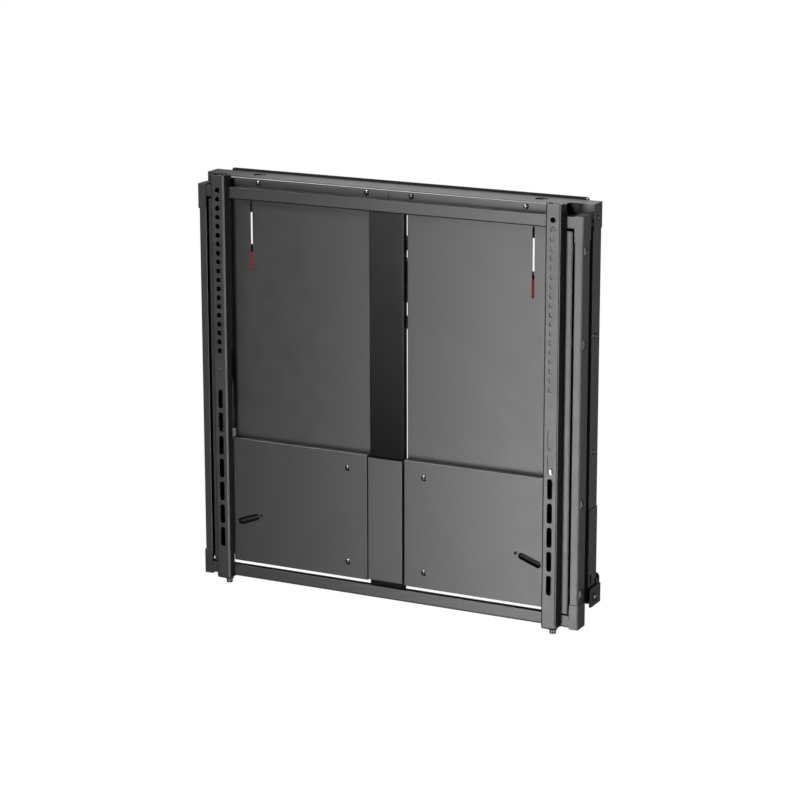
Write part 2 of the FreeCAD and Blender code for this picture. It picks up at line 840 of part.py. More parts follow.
def make_centre_cover():
    """The narrow cover in the middle, which sits on the column's face on two seats."""
    x1 = centre_cover_half
    z0 = cover_bottom + centre_cover_bottom_rise
    z1 = cover_top - centre_cover_top_drop
    front = box(-x1, x1, centre_cover_front, centre_cover_front + sheet, z0, z1)
    wall = box(x1 - sheet, x1, centre_cover_front, column_front, z0, z1)
    reach = centre_cover_seat / 2
    seats = [box(-reach, reach, centre_cover_front + sheet, column_front, z - reach, z + reach)
             for z in cover_screw_heights()]
    body = union([front] + both_sides(wall) + seats)
    return round_edges(body, lambda a, b: near(abs(a.x), x1) and near(a.x, b.x)
                       and near(a.y, centre_cover_front) and near(b.y, centre_cover_front), cover_bend)


def make_carriage_plate():
    """The right carriage plate: its outer edge steps forward to the slide, and a tongue guides it."""
    z0 = cover_bottom + carriage_inset
    z1 = cover_top - carriage_inset
    plate = box(column_half, carriage_outer, carriage_front, carriage_back, z0, z1)
    ear = box(strip_inner - angle_width, carriage_outer, carriage_front, carriage_back, z1,
              cover_top + angle_rise)
    step = box(carriage_outer - carriage_step_lap, strip_inner, carriage_front - carriage_sheet,
               carriage_front, z0, z1)
    flange = box(strip_inner - carriage_sheet, strip_inner, frame_front + frame_sheet,
                 carriage_front, z0, z1)
    x0 = column_half + guide_slot_offset + tongue_play
    x1 = x0 + guide_slot_width - 2 * tongue_play
    middle = (z0 + z1) / 2
    tongue = box(x0, x1, carriage_back, carriage_back + tongue_reach, middle - tongue_length / 2,
                 middle + tongue_length / 2)
    body = union([plate, ear, step, flange, tongue])
    holes = [rod_along_y(cover_screw_x, carriage_front - sheet, carriage_back + sheet, z,
                         screw_d + 2 * fit_gap) for z in cover_screw_heights()]
    return cut_all(body, holes)


def make_carriage_angle():
    """The plated angle that ties the top of the carriage plate to the moving slide."""
    z1 = cover_top + angle_rise
    z0 = z1 - angle_height
    upright = box(strip_inner - angle_sheet, strip_inner, frame_front + frame_sheet, carriage_front,
                  z0, z1)
    flange = box(strip_inner - angle_width, strip_inner, carriage_front - angle_sheet, carriage_front,
                 z0, z1)
    return union([upright, flange])


# The telescopic slides

def slide_walls(centre, half, y0, y1, lip, z0, z1):
    """A channel open to the front, with lips turned inward at the opening."""
    back = box(centre - half, centre + half, y1 - slide_sheet, y1, z0, z1)
    parts = [back]
    for s in (-1, 1):
        outer = centre + s * half
        parts.append(box(outer, outer - s * slide_sheet, y0, y1, z0, z1))
        parts.append(box(outer, outer - s * (slide_sheet + lip), y0, y0 + slide_sheet, z0, z1))
    return union(parts)


rib_half = rib_thickness / 2
middle_half = rib_half + glide_inner + slide_play + slide_sheet
fixed_half = middle_half + glide_outer + slide_play + slide_sheet
slide_bottom = box_bottom + slide_start
slide_middle_top = box_top - slide_fixed_end_gap - slide_middle_end_gap


def make_slide_fixed():
    y1 = side_front
    return slide_walls(rib_centre, fixed_half, y1 - slide_depth, y1, slide_lip, slide_bottom,
                       box_top - slide_fixed_end_gap)


def middle_depths():
    y1 = side_front - slide_middle_setback
    return y1 - slide_middle_depth, y1


def make_slide_middle():
    y0, y1 = middle_depths()
    return slide_walls(rib_centre, middle_half, y0, y1, glide_inner, slide_bottom + slide_start,
                       slide_middle_top)


def make_middle_glides():
    y1 = side_front - slide_middle_setback - slide_sheet
    z0 = slide_bottom + slide_start
    x0 = rib_centre + middle_half
    strip = box(x0, x0 + glide_outer, y1 - glide_depth, y1, z0, slide_middle_top)
    other = box(2 * rib_centre - x0, 2 * rib_centre - x0 - glide_outer, y1 - glide_depth, y1, z0,
                slide_middle_top)
    return Part.makeCompound([strip, other])


def rib_back():
    return side_front - slide_middle_setback - slide_sheet - 2 * slide_play


def make_slide_inner():
    """The moving slide: the strip seen beside the upright, with a rib that runs inside the middle member."""
    z0 = opening_bottom + strip_end_gap
    z1 = opening_top - strip_end_gap
    strip = box(strip_inner, strip_outer, frame_front, frame_front + strip_thickness, z0, z1)
    rib = box(rib_centre - rib_half, rib_centre + rib_half, frame_front + strip_thickness, rib_back(),
              z0 + rib_end, z1 - rib_end)
    body = union([strip, rib])
    return round_edges(body, lambda a, b: near(a.y, frame_front) and near(b.y, frame_front)
                       and near(a.x, b.x), bend_radius)


def make_inner_glides():
    y1 = rib_back()
    z0 = opening_bottom + strip_end_gap + rib_end
    z1 = opening_top - strip_end_gap - rib_end
    solids = []
    for s in (-1, 1):
        x = rib_centre + s * rib_half
        solids.append(box(x, x + s * glide_inner, y1 - glide_depth, y1, z0, z1))
    return Part.makeCompound(solids)


# The display brackets

def arrow_tool(x, z, y0, y1):
    """The small arrow that points up, cut into the front of a bracket."""
    half = arrow_width / 2
    head = z + arrow_height * 0.45
    points = [(x, z + arrow_height), (x + half, head), (x + half / 2, head), (x + half / 2, z)]
    points += [(x - half / 2, z), (x - half / 2, head), (x - half, head)]
    return plate_outline([(px, y0, pz) for px, pz in points], (0, y1 - y0, 0))


def make_display_bracket():
    """The right display bracket: an open channel that hooks over the top cross member."""
    t = bracket_sheet
    x0 = bracket_x - bracket_width / 2
    x1 = x0 + bracket_width
    y0 = bracket_front
    y1 = frame_front
    front = box(x0, x1, y0, y0 + t, bracket_bottom, bracket_top)
    walls = []
    hook_bottom = frame_top + hook_gap
    tooth_y = frame_front + frame_sheet + hook_web_gap
    for wall_x in (x0, x1 - t):
        walls.append(box(wall_x, wall_x + t, y0, y1, bracket_bottom, bracket_top))
        walls.append(box(wall_x, wall_x + t, y1, y1 + hook_reach, hook_bottom, bracket_top - hook_step))
        walls.append(box(wall_x, wall_x + t, tooth_y, tooth_y + hook_tooth, hook_bottom - hook_drop,
                         hook_bottom))
    foot = box(x0, x1, y0, frame_back_plane, bracket_bottom, bracket_bottom + t)
    clamp_y = frame_front + clamp_setback
    nut = rod_along_z(bracket_x, clamp_y, bracket_bottom - clamp_nut_height, bracket_bottom, clamp_nut_d)
    body = union([front] + walls + [foot, nut])
    body = round_edges(body, lambda a, b: near(a.z, bracket_bottom) and near(b.z, a.z) and near(a.x, b.x)
                       and (near(a.x, x0) or near(a.x, x1)), bracket_corner)
    body = round_edges(body, lambda a, b: near(a.y, y0) and near(b.y, y0) and near(a.x, b.x)
                       and (near(a.x, x0) or near(a.x, x1)), frame_bend)
    tools = [rod_along_z(bracket_x, clamp_y, bracket_bottom - 2 * clamp_nut_height,
                         bracket_bottom + 2 * t, clamp_screw_d + 2 * fit_gap)]
    for i in range(vesa_hole_count):
        tools.append(rod_along_y(bracket_x, y0 - t, y0 + 2 * t, first_hole_z - vesa_hole_pitch * i,
                                 vesa_hole_d))
    for i in range(vesa_slot_count):
        z = first_slot_z - vesa_slot_pitch * i
        tools.append(slot_tool(bracket_x, z, vesa_slot_length, vesa_hole_d, y0 - t, y0 + 2 * t))
    tools.append(arrow_tool(bracket_x, last_hole_z - arrow_drop, y0 - t, y0 + arrow_depth))
    return cut_all(body, tools)


def make_clamp_screw():
    """The knurled screw that presses the bracket down on the cross members."""
    y = frame_front + clamp_setback
    seat = bracket_bottom - clamp_nut_height - loose_gap
    shank = rod_along_z(bracket_x, y, seat, frame_bottom - foot_gap / 2, clamp_screw_d)
    head = rod_along_z(bracket_x, y, seat - clamp_head_height, seat, clamp_head_d)
    notch_r = clamp_head_d / 2
    notches = []
    for i in range(knurl_count):
        a = 2 * math.pi * i / knurl_count
        x = bracket_x + notch_r * math.cos(a)
        notches.append(rod_along_z(x, y + notch_r * math.sin(a), seat - 2 * clamp_head_height,
                                   seat + sheet, clamp_head_d / knurl_count))
    return union([head.cut(Part.makeCompound(notches)), shank])


# The spring drive

def make_bearing_block():
    """The block under the top plate that carries the adjusting screw."""
    top = box_top - block_top_drop
    y0 = panel_back + sheet
    body = box(adjust_x - block_width / 2, adjust_x + block_width / 2, y0, y0 + block_depth,
               top - block_height, top)
    bore = rod_along_z(adjust_x, adjust_y, top - 2 * block_height, top + sheet,
                       adjust_screw_d + 2 * fit_gap)
    return body.cut(bore)


def make_thrust_washers():
    z0 = box_top - block_top_drop
    ring = rod_along_z(adjust_x, adjust_y, z0, z0 + washer_height, washer_d)
    ring = ring.cut(rod_along_z(adjust_x, adjust_y, z0 - sheet, z0 + 2 * washer_height,
                                adjust_screw_d + 2 * loose_gap))
    return Part.makeCompound(both_sides(ring))


def make_adjusting_screw():
    seat = box_top - block_top_drop + washer_height + fit_gap
    shank = rod_along_z(adjust_x, adjust_y, yoke_bottom - adjust_screw_overrun, seat, adjust_screw_d)
    top = box_top - adjust_head_drop
    head = rod_along_z(adjust_x, adjust_y, seat, top, adjust_head_d)
    socket = hex_tool(adjust_x, adjust_y, top - hex_depth, box_top, hex_socket)
    return union([shank, head]).cut(socket)


def stud(x, y_plate, z):
    """A headed stud that points forward from a plate, at the middle of which a spring loop sits."""
    reach = 2 * (y_plate - adjust_y)
    shaft = rod_along_y(x, y_plate - reach, y_plate, z, stud_d)
    head = rod_along_y(x, y_plate - reach, y_plate - reach + stud_head_h, z, stud_head_d)
    return union([shaft, head])


def make_yoke():
    """The nut that the adjusting screw lifts: a block on a plate that carries two springs."""
    y0 = adjust_y - yoke_depth / 2
    y1 = adjust_y + yoke_depth / 2
    block = box(adjust_x - yoke_width / 2, adjust_x + yoke_width / 2, y0, y1, yoke_bottom, yoke_top)
    plate = box(adjust_x - yoke_plate_half, adjust_x + yoke_plate_half, y1, y1 + yoke_plate,
                yoke_bottom - yoke_plate_drop, yoke_top)
    studs = [stud(adjust_x + s * spring_offset, y1, upper_loop_z) for s in (-1, 1)]
    body = union([block, plate] + studs)
    bore = rod_along_z(adjust_x, adjust_y, yoke_bottom - sheet, yoke_top + sheet,
                       adjust_screw_d + 2 * fit_gap)
    return body.cut(bore)


def make_pointer():
    """The red flag that shows the spring setting in the panel's slot."""
    y1 = adjust_y - yoke_depth / 2
    half = pointer_width / 2
    top = yoke_top - pointer_drop
    return box(adjust_x - half, adjust_x + half, panel_front + pointer_setback, y1,
               top - pointer_height, top)


def make_spring(x):
    """One extension spring as its outer shape: a sleeve with a wire loop at each end."""
    body_top = upper_loop_z - spring_lead
    body_bottom = lower_loop_z + spring_lead
    sleeve = rod_along_z(x, adjust_y, body_bottom, body_top, spring_d)
    sleeve = sleeve.cut(rod_along_z(x, adjust_y, body_bottom + spring_cap, body_top - spring_cap,
                                    spring_bore))
    pieces = [sleeve]
    ring_r = stud_d / 2 + loop_play + spring_wire / 2
    for centre, near_end, s in ((upper_loop_z, body_top, -1), (lower_loop_z, body_bottom, 1)):
        ring = Part.makeTorus(ring_r, spring_wire / 2, FreeCAD.Vector(x, adjust_y, centre),
                              FreeCAD.Vector(0, 1, 0))
        start = centre + s * ring_r
        pieces.append(ring)
        pieces.append(rod_along_z(x, adjust_y, min(start, near_end), max(start, near_end), spring_wire))
    return union(pieces)


def make_spring_pair():
    return Part.makeCompound([make_spring(adjust_x + s * spring_offset) for s in (-1, 1)])


def pulley(x, z, pitch, y0, bore, hub):
    """A flanged belt wheel: y0 is the belt's front edge."""
    groove_r = pitch - belt_thickness / 2 - belt_play
    flange_d = 2 * pitch + belt_thickness
    front = y0 - pulley_side_play
    back = y0 + belt_width + pulley_side_play
    rim = rod_along_y(x, front, back, z, 2 * groove_r)
    flanges = [rod_along_y(x, front - pulley_flange, front, z, flange_d),
               rod_along_y(x, back, back + pulley_flange, z, flange_d)]
    body = union([rim] + flanges)
    return body, front - pulley_flange, back + pulley_flange


def make_drum():
    """The stepped drum: a large wheel for the lift belt and a small one for the spring belt."""
    large, y0, y1 = pulley(0, drum_z, drum_radius, lift_belt_front, drum_shaft_d, hub_d)
    small, y2, y3 = pulley(0, drum_z, spring_radius, spring_belt_front, drum_shaft_d, hub_d)
    web_y0 = (y0 + y1 - drum_web) / 2
    rim_inner = drum_radius - belt_thickness / 2 - belt_play - drum_web
    pockets = rod_along_y(0, y0 - sheet, web_y0, drum_z, 2 * rim_inner)
    rear_pocket = rod_along_y(0, web_y0 + drum_web, y1 + sheet, drum_z, 2 * rim_inner)
    hollowed = large.cut(pockets).cut(rear_pocket)
    hub = rod_along_y(0, y0, y3, drum_z, hub_d)
    body = union([hollowed, hub, small])
    tools = [rod_along_y(0, y0 - sheet, y3 + sheet, drum_z, drum_shaft_d + 2 * fit_gap)]
    for i in range(drum_hole_count):
        a = 2 * math.pi * i / drum_hole_count
        z = drum_z + drum_hole_radius * math.sin(a)
        tools.append(rod_along_y(drum_hole_radius * math.cos(a), web_y0 - sheet,
                                 web_y0 + drum_web + sheet, z, drum_hole_d))
    return cut_all(body, tools)


def lift_idler_x():
    return drum_radius - lift_idler_radius


def spring_idler_x():
    return spring_radius - spring_idler_radius


def make_lift_idler():
    body, y0, y1 = pulley(lift_idler_x(), idler_z, lift_idler_radius, lift_belt_front, idler_shaft_d,
                          hub_d)
    bore = rod_along_y(lift_idler_x(), y0 - sheet, y1 + sheet, idler_z, idler_shaft_d + 2 * fit_gap)
    return body.cut(bore)


def make_spring_idler():
    body, y0, y1 = pulley(spring_idler_x(), idler_z, spring_idler_radius, spring_belt_front,
                          spring_idler_shaft_d, hub_d)
    bore = rod_along_y(spring_idler_x(), y0 - sheet, y1 + sheet, idler_z,
                       spring_idler_shaft_d + 2 * fit_gap)
    return body.cut(bore)


def shaft(x, z, d, y_front, y_back, wheel_front, wheel_back):
    """A fixed axle with a base flange, a collar behind the wheel and a clip in front of it."""
    axle = rod_along_y(x, y_front, y_back, z, d)
    base = rod_along_y(x, y_back - shaft_base_h, y_back, z, d + 2 * shaft_base_rise)
    collar = rod_along_y(x, wheel_back + loose_gap, wheel_back + loose_gap + clip_height, z,
                         d + shaft_base_rise / 2)
    return union([axle, base, collar])


def make_drum_shaft():
    wheel_back = spring_belt_back + pulley_side_play + pulley_flange
    wheel_front = lift_belt_front - pulley_side_play - pulley_flange
    return shaft(0, drum_z, drum_shaft_d, wheel_front, crossbar_back - sheet, wheel_front, wheel_back)


def make_idler_shafts():
    lift_back = lift_belt_back + pulley_side_play + pulley_flange
    lift_front = lift_belt_front - pulley_side_play - pulley_flange
    spring_back = spring_belt_back + pulley_side_play + pulley_flange
    spring_front = spring_belt_front - pulley_side_play - pulley_flange
    first = shaft(lift_idler_x(), idler_z, idler_shaft_d, lift_front, bottom_web_front, lift_front,
                  lift_back)
    second = shaft(spring_idler_x(), idler_z, spring_idler_shaft_d, spring_front, bottom_web_front,
                   spring_front, spring_back)
    return Part.makeCompound([first, second])


def belt_outline(r_drum, r_idler, x_idler):
    """The closed line of a belt round the drum and one idler, whose right-hand run is plumb."""
    dx = x_idler
    dz = idler_z - drum_z
    lean = 2 * math.atan2(dx, -dz)
    left = (-math.cos(lean), -math.sin(lean))
    drum_left = FreeCAD.Vector(r_drum * left[0], 0, drum_z + r_drum * left[1])
    idler_left = FreeCAD.Vector(x_idler + r_idler * left[0], 0, idler_z + r_idler * left[1])
    drum_right = FreeCAD.Vector(r_drum, 0, drum_z)
    idler_right = FreeCAD.Vector(x_idler + r_idler, 0, idler_z)
    over = Part.Arc(drum_right, FreeCAD.Vector(0, 0, drum_z + r_drum), drum_left).toShape()
    under = Part.Arc(idler_left, FreeCAD.Vector(x_idler, 0, idler_z - r_idler), idler_right).toShape()
    down = Part.makeLine(drum_left, idler_left)
    up = Part.makeLine(idler_right, drum_right)
    return Part.Wire([over, down, under, up])


def make_belt(pitch, idler_pitch, x_idler, y0):
    """A flat belt: the band between two loops half a thickness to each side of the pitch line."""
    half = belt_thickness / 2
    outer = Part.Face(belt_outline(pitch + half, idler_pitch + half, x_idler))
    inner = Part.Face(belt_outline(pitch - half, idler_pitch - half, x_idler))
    band = outer.cut(inner).extrude(FreeCAD.Vector(0, belt_width, 0))
    band.translate(FreeCAD.Vector(0, y0, 0))
    return band


def make_lift_arm():
    """The arm on the back of the column, which grips the lift belt behind the panel."""
    z0 = arm_bottom
    z1 = arm_bottom + arm_height
    grip = drum_radius + belt_thickness / 2 + belt_play
    tongue = box(-arm_tongue_half, arm_tongue_half, column_front + sheet, arm_front, z0, z1)
    plate = box(-arm_tongue_half, grip + clamp_tab, arm_front, arm_back, z0, z1)
    tab = box(grip, grip + clamp_tab, arm_back, lift_belt_back, z0, z1)
    return union([tongue, plate, tab])


def make_beam():
    """The cross beam that the springs pull up, which grips the spring belt."""
    y0 = rod_y - beam_thickness / 2
    y1 = rod_y + beam_thickness / 2
    z0 = beam_bottom
    z1 = beam_bottom + beam_height
    plate = box(-beam_half, beam_half, y0, y1, z0, z1)
    grip = spring_radius + belt_thickness / 2 + belt_play
    tab = box(grip, grip + clamp_tab, spring_belt_front, y0, z0, z1)
    bushes = []
    for s in (-1, 1):
        x = s * rod_x
        bushes.append(box(x - bush_width / 2, x + bush_width / 2, rod_y - bush_depth / 2,
                          rod_y + bush_depth / 2, z0, z0 + bush_height))
    body = union([plate, tab] + bushes)
    bores = [rod_along_z(s * rod_x, rod_y, z0 - sheet, z0 + bush_height + sheet, rod_d + 2 * fit_gap)
             for s in (-1, 1)]
    return cut_all(body, bores)


def make_spring_studs():
    """The four studs on the beam that hold the lower ends of the springs."""
    y_plate = rod_y - beam_thickness / 2
    solids = []
    for s in (-1, 1):
        solids += both_sides(stud(adjust_x + s * spring_offset, y_plate, lower_loop_z))
    return Part.makeCompound(solids)


def make_guide_rods():
    z0 = box_bottom + sheet
    z1 = drum_z - crossbar_height / 2
    return Part.makeCompound(both_sides(rod_along_z(rod_x, rod_y, z0, z1, rod_d)))


def side_pair(name, shape):
    return [(name + "_left", mirrored(shape)), (name + "_right", shape)]


def both_together(shape):
    return Part.makeCompound(both_sides(shape))


def make_shafts():
    return Part.makeCompound([make_drum_shaft()] + make_idler_shafts().Solids)


def build():
    nodes = [("top_channel", make_top_channel()), ("bottom_rail", make_bottom_rail())]
    nodes += side_pair("side_channel", make_side_channel())
    nodes += [("side_cheeks", both_together(make_side_cheek()))]
    nodes += side_pair("front_panel", make_panel())
    nodes += [("crossbar", make_crossbar()), ("wall_rail_upper", make_upper_rail())]
    nodes += [("wall_rail_lower", make_lower_rail())]
    nodes += side_pair("lock_screw", make_lock_screw())
    nodes += [("channel_screws", make_channel_screws()), ("side_screws", make_side_screws())]
    nodes += [("rail_bolts", make_rail_bolts()), ("cover_screws", make_cover_screws())]
    nodes += [("cross_member_top", make_cross_member(opening_top))]
    nodes += [("cross_member_bottom", make_bottom_cross_member())]
    nodes += side_pair("frame_rail", make_frame_rail())
    nodes += [("corner_caps", make_corner_caps()), ("centre_column", make_column())]
    nodes += side_pair("lower_cover", make_lower_cover())
    nodes += [("centre_cover", make_centre_cover()), ("slot_rods", both_together(make_slot_rod()))]
    nodes += [("carriage_plates", both_together(make_carriage_plate()))]
    nodes += [("carriage_angles", both_together(make_carriage_angle()))]
    nodes += [("slides_fixed", both_together(make_slide_fixed()))]
    nodes += side_pair("slide_middle", make_slide_middle())
    nodes += side_pair("middle_glides", make_middle_glides())
    nodes += side_pair("slide_inner", make_slide_inner())
    nodes += [("inner_glides", both_together(make_inner_glides()))]
    nodes += side_pair("display_bracket", make_display_bracket())
    nodes += side_pair("clamp_screw", make_clamp_screw())
    nodes += [("bearing_blocks", both_together(make_bearing_block()))]
    nodes += [("thrust_washers", make_thrust_washers())]
    nodes += side_pair("adjusting_screw", make_adjusting_screw())
    nodes += side_pair("spring_yoke", make_yoke())
    nodes += side_pair("pointer", make_pointer())
    nodes += side_pair("springs", make_spring_pair())
    nodes += [("drum", make_drum()), ("shafts", make_shafts())]
    nodes += [("lift_idler", make_lift_idler()), ("spring_idler", make_spring_idler())]
    nodes += [("lift_belt", make_belt(drum_radius, lift_idler_radius, lift_idler_x(), lift_belt_front))]
    nodes += [("spring_belt", make_belt(spring_radius, spring_idler_radius, spring_idler_x(),
                                        spring_belt_front))]
    nodes += [("lift_arm", make_lift_arm()), ("spring_beam", make_beam())]
    nodes += [("spring_studs", make_spring_studs()), ("guide_rods", make_guide_rods())]
    return nodes


def main():
    os.makedirs("parts", exist_ok=True)
    for name, shape in build():
        shape.exportStep(os.path.join("parts", name + ".step"))
        print(name, "solids", len(shape.Solids), "valid", shape.isValid(), "volume",
              round(shape.Volume, 1))


main()
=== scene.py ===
import json
import math

import bmesh
import bpy
from mathutils import Matrix, Vector


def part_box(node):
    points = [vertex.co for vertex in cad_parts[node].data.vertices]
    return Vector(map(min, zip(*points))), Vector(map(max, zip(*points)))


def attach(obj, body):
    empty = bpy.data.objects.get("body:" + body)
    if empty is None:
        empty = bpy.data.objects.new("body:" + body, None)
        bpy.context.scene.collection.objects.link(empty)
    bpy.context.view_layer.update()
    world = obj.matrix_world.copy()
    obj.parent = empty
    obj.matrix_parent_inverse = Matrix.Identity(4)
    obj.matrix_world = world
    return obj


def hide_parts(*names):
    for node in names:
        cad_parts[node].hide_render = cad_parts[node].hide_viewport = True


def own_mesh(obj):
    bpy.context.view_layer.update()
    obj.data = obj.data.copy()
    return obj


# A height-adjustable wall mount for a display, in metres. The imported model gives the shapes,
# and this script adds the finishes, the wound springs, the lights and the camera.

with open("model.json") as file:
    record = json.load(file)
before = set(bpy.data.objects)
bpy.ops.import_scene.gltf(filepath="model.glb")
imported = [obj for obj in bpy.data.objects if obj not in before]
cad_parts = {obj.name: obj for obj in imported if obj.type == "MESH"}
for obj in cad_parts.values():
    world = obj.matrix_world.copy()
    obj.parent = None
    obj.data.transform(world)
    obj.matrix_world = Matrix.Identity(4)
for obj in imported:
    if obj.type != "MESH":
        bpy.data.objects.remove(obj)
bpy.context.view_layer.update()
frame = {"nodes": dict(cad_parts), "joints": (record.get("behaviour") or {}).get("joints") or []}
nodes = frame["nodes"]

# Camera, solved from the photograph: place, view direction and roll in degrees, lens in millimetres
camera_place = (1.9648, -3.935, 0.7874)
camera_azimuth = 26.6606
camera_elevation = 14.31
camera_roll = -0.078
camera_lens = 123.73
camera_sensor = 36.0
camera_reach = 60.0

# Springs: coil, the turns that narrow at its ends, and the hooks with their straight shanks.
# The lead is the part of a spring's length that its hook takes, and hook turns are in degrees.
spring_wire = 0.003
spring_coil_radius = 0.0095
spring_turns = 96
turn_points = 14
wire_sides = 7
narrow_turns = 2.0
narrow_share = 0.45
spring_lead = 0.020
hook_radius = 0.0048
hook_neck = 0.006
hook_start = 20.0
hook_sweep = 320.0
hook_turn_points = 16

# Textures: scales are in cycles per metre, depths and pitches in metres. Tones are the darkest
# and lightest share of a colour, and gloss values are added to the roughness.
edge_softness = 0.0004
edge_samples = 6
coat_drift_scale = 7.0
coat_tones = (0.93, 1.07)
coat_cloud_scale = 40.0
coat_gloss = (-0.05, 0.05)
coat_peel_scale = 1300.0
coat_peel_depth = 0.00006
coat_peel_strength = 0.5
# The column's sheen is painted darker from the top height down to the bottom height: a painted shade.
column_shade_bottom = -0.42
column_shade_top = -0.02
steel_cloud_scale = 22.0
steel_tones = (0.82, 1.1)
steel_grain_scale = 900.0
steel_gloss = (-0.08, 0.12)
steel_grain_depth = 0.00002
steel_grain_strength = 0.4
thread_pitch = 0.00175
thread_depth = 0.0007
# Thread roots are painted this share of the colour, darker: a painted shade in the grooves.
thread_root_shade = 0.45
thread_rough = 0.32
skin_cloud_scale = 120.0
skin_tones = (0.85, 1.12)
skin_gloss = (-0.06, 0.06)
skin_scale = 2200.0
skin_strength = 0.4
belt_cloud_scale = 60.0
belt_tones = (0.8, 1.3)
belt_rib_pitch = 0.003
belt_rib_depth = 0.0004
belt_rib_strength = 0.7
belt_rough = 0.6

# Lights: each has a place, a point that it faces, a width, a height and a power
lights = {
    "front_strip": ((-0.40, -2.1, -0.35), (-0.40, 0.0, -0.35), 0.46, 1.4, 32.5),
    "front_low_strip": ((-0.40, -2.1, -1.55), (-0.40, 0.0, -1.0), 0.46, 1.0, 40.0),
    "front_fill": ((0.0, -2.1, -1.55), (0.0, 0.0, -1.0), 0.4, 1.0, 5.5),
    "top_light": ((0.0, 1.2, 2.0), (0.0, 0.0, -0.2), 2.0, 1.0, 36.0),
    "back_left_light": ((-0.6, 2.8, 0.7), (0.0, 0.0, -0.3), 2.4, 1.2, 12.0),
    "back_right_light": ((2.0, 2.4, -0.8), (0.3, 0.0, -0.3), 1.6, 2.0, 4.6),
    "rear_left_light": ((-1.1, 2.5, -1.1), (0.0, 0.0, -0.35), 1.8, 1.2, 55.0),
    "rear_right_light": ((2.7, 1.5, -0.9), (0.2, 0.0, -0.3), 1.0, 1.6, 14.0),
    "upper_edge_light": ((-1.13, -1.75, 1.65), (0.0, 0.0, 0.0), 1.2, 0.5, 200.0),
    "right_edge_light": ((2.3, -1.2, -0.9), (0.0, 0.0, -0.3), 0.4, 2.0, 85.0),
}
light_tint = (1.0, 0.968, 0.984)
world_light = 0.06
floor_z = -1.6
floor_half = 14.0
floor_light = 0.03


def socket(node, name, value):
    """Sets a node's input to a fixed value."""
    node.inputs[name].default_value = value


def new_material(name):
    """A new material, with its node tree and its principled shader."""
    material = bpy.data.materials.new(name)
    material.use_nodes = True
    tree = material.node_tree
    shader = next(n for n in tree.nodes if n.type == "BSDF_PRINCIPLED")
    return material, tree, shader


def add(tree, kind, **values):
    """Adds a node and sets its properties."""
    node = tree.nodes.new(kind)
    for key, value in values.items():
        setattr(node, key, value)
    return node


def noise(tree, scale, detail=3.0, rough=0.5, stretch=(1.0, 1.0, 1.0)):
    """A noise texture in the object's own metres."""
    coordinates = add(tree, "ShaderNodeTexCoord")
    mapping = add(tree, "ShaderNodeMapping")
    socket(mapping, "Scale", stretch)
    texture = add(tree, "ShaderNodeTexNoise")
    socket(texture, "Scale", scale)
    socket(texture, "Detail", detail)
    socket(texture, "Roughness", rough)
    tree.links.new(coordinates.outputs["Object"], mapping.inputs["Vector"])
    tree.links.new(mapping.outputs["Vector"], texture.inputs["Vector"])
    return texture


def bands(tree, pitch, profile="SIN"):
    """Bands along the object's Z axis, one for each pitch."""
    coordinates = add(tree, "ShaderNodeTexCoord")
    wave = add(tree, "ShaderNodeTexWave", wave_type="BANDS", bands_direction="Z", wave_profile=profile)
    socket(wave, "Scale", 1.0 / (pitch * 20.0) * math.pi)
    tree.links.new(coordinates.outputs["Object"], wave.inputs["Vector"])
    return wave


def ramp(tree, source, low, high, start=0.3, end=0.7):
    """A colour ramp from low to high, driven by the source."""
    node = add(tree, "ShaderNodeValToRGB")
    node.color_ramp.elements[0].position = start
    node.color_ramp.elements[0].color = (*low, 1.0)
    node.color_ramp.elements[1].position = end
    node.color_ramp.elements[1].color = (*high, 1.0)
    tree.links.new(source, node.inputs["Fac"])
    return node


def spread(tree, source, low, high):
    """Maps a value from 0..1 to low..high."""
    node = add(tree, "ShaderNodeMapRange")
    socket(node, "To Min", low)
    socket(node, "To Max", high)
    tree.links.new(source, node.inputs["Value"])
    return node


def bump(tree, shader, source, distance, strength=1.0, before=None):
    """Relief in the shading, on top of an earlier change of the normal where there is one."""
    node = add(tree, "ShaderNodeBump")
    socket(node, "Distance", distance)
    socket(node, "Strength", strength)
    tree.links.new(source, node.inputs["Height"])
    if before is not None:
        tree.links.new(before, node.inputs["Normal"])
    tree.links.new(node.outputs["Normal"], shader.inputs["Normal"])


def soft_edges(tree):
    """Rounds sharp sheet edges in the shading, so that they catch light."""
    node = add(tree, "ShaderNodeBevel", samples=edge_samples)
    socket(node, "Radius", edge_softness)
    return node.outputs["Normal"]


def scaled(colour, factor):
    """The colour made lighter or darker, within white."""
    return tuple(min(1.0, c * factor) for c in colour)


def tint(tree, shader, source, colour, tones):
    """Lets the base colour drift between two tones."""
    tone = ramp(tree, source, scaled(colour, tones[0]), scaled(colour, tones[1]))
    tree.links.new(tone.outputs["Color"], shader.inputs["Base Color"])


def drift_gloss(tree, shader, source, rough, gloss):
    """Lets the roughness drift on both sides of its value."""
    value = spread(tree, source, rough + gloss[0], rough + gloss[1])
    tree.links.new(value.outputs["Result"], shader.inputs["Roughness"])


def powder_coat(name, colour, rough=0.38, level=0.5, shade_drop=0.0):
    """Baked powder coat: fine orange peel, slow drifts in tone and in gloss; with a shade drop, its
    sheen is also painted darker towards the bottom, a painted shade.
    """
    material, tree, shader = new_material(name)
    drift = noise(tree, coat_drift_scale)
    tint(tree, shader, drift.outputs["Fac"], colour, coat_tones)
    cloud = noise(tree, coat_cloud_scale, 4.0)
    drift_gloss(tree, shader, cloud.outputs["Fac"], rough, coat_gloss)
    peel = noise(tree, coat_peel_scale, 2.0, 0.6)
    bump(tree, shader, peel.outputs["Fac"], coat_peel_depth, coat_peel_strength, soft_edges(tree))
    socket(shader, "Specular IOR Level", level)
    if shade_drop:
        paint_shade_down(tree, shader, level, shade_drop)
    return material


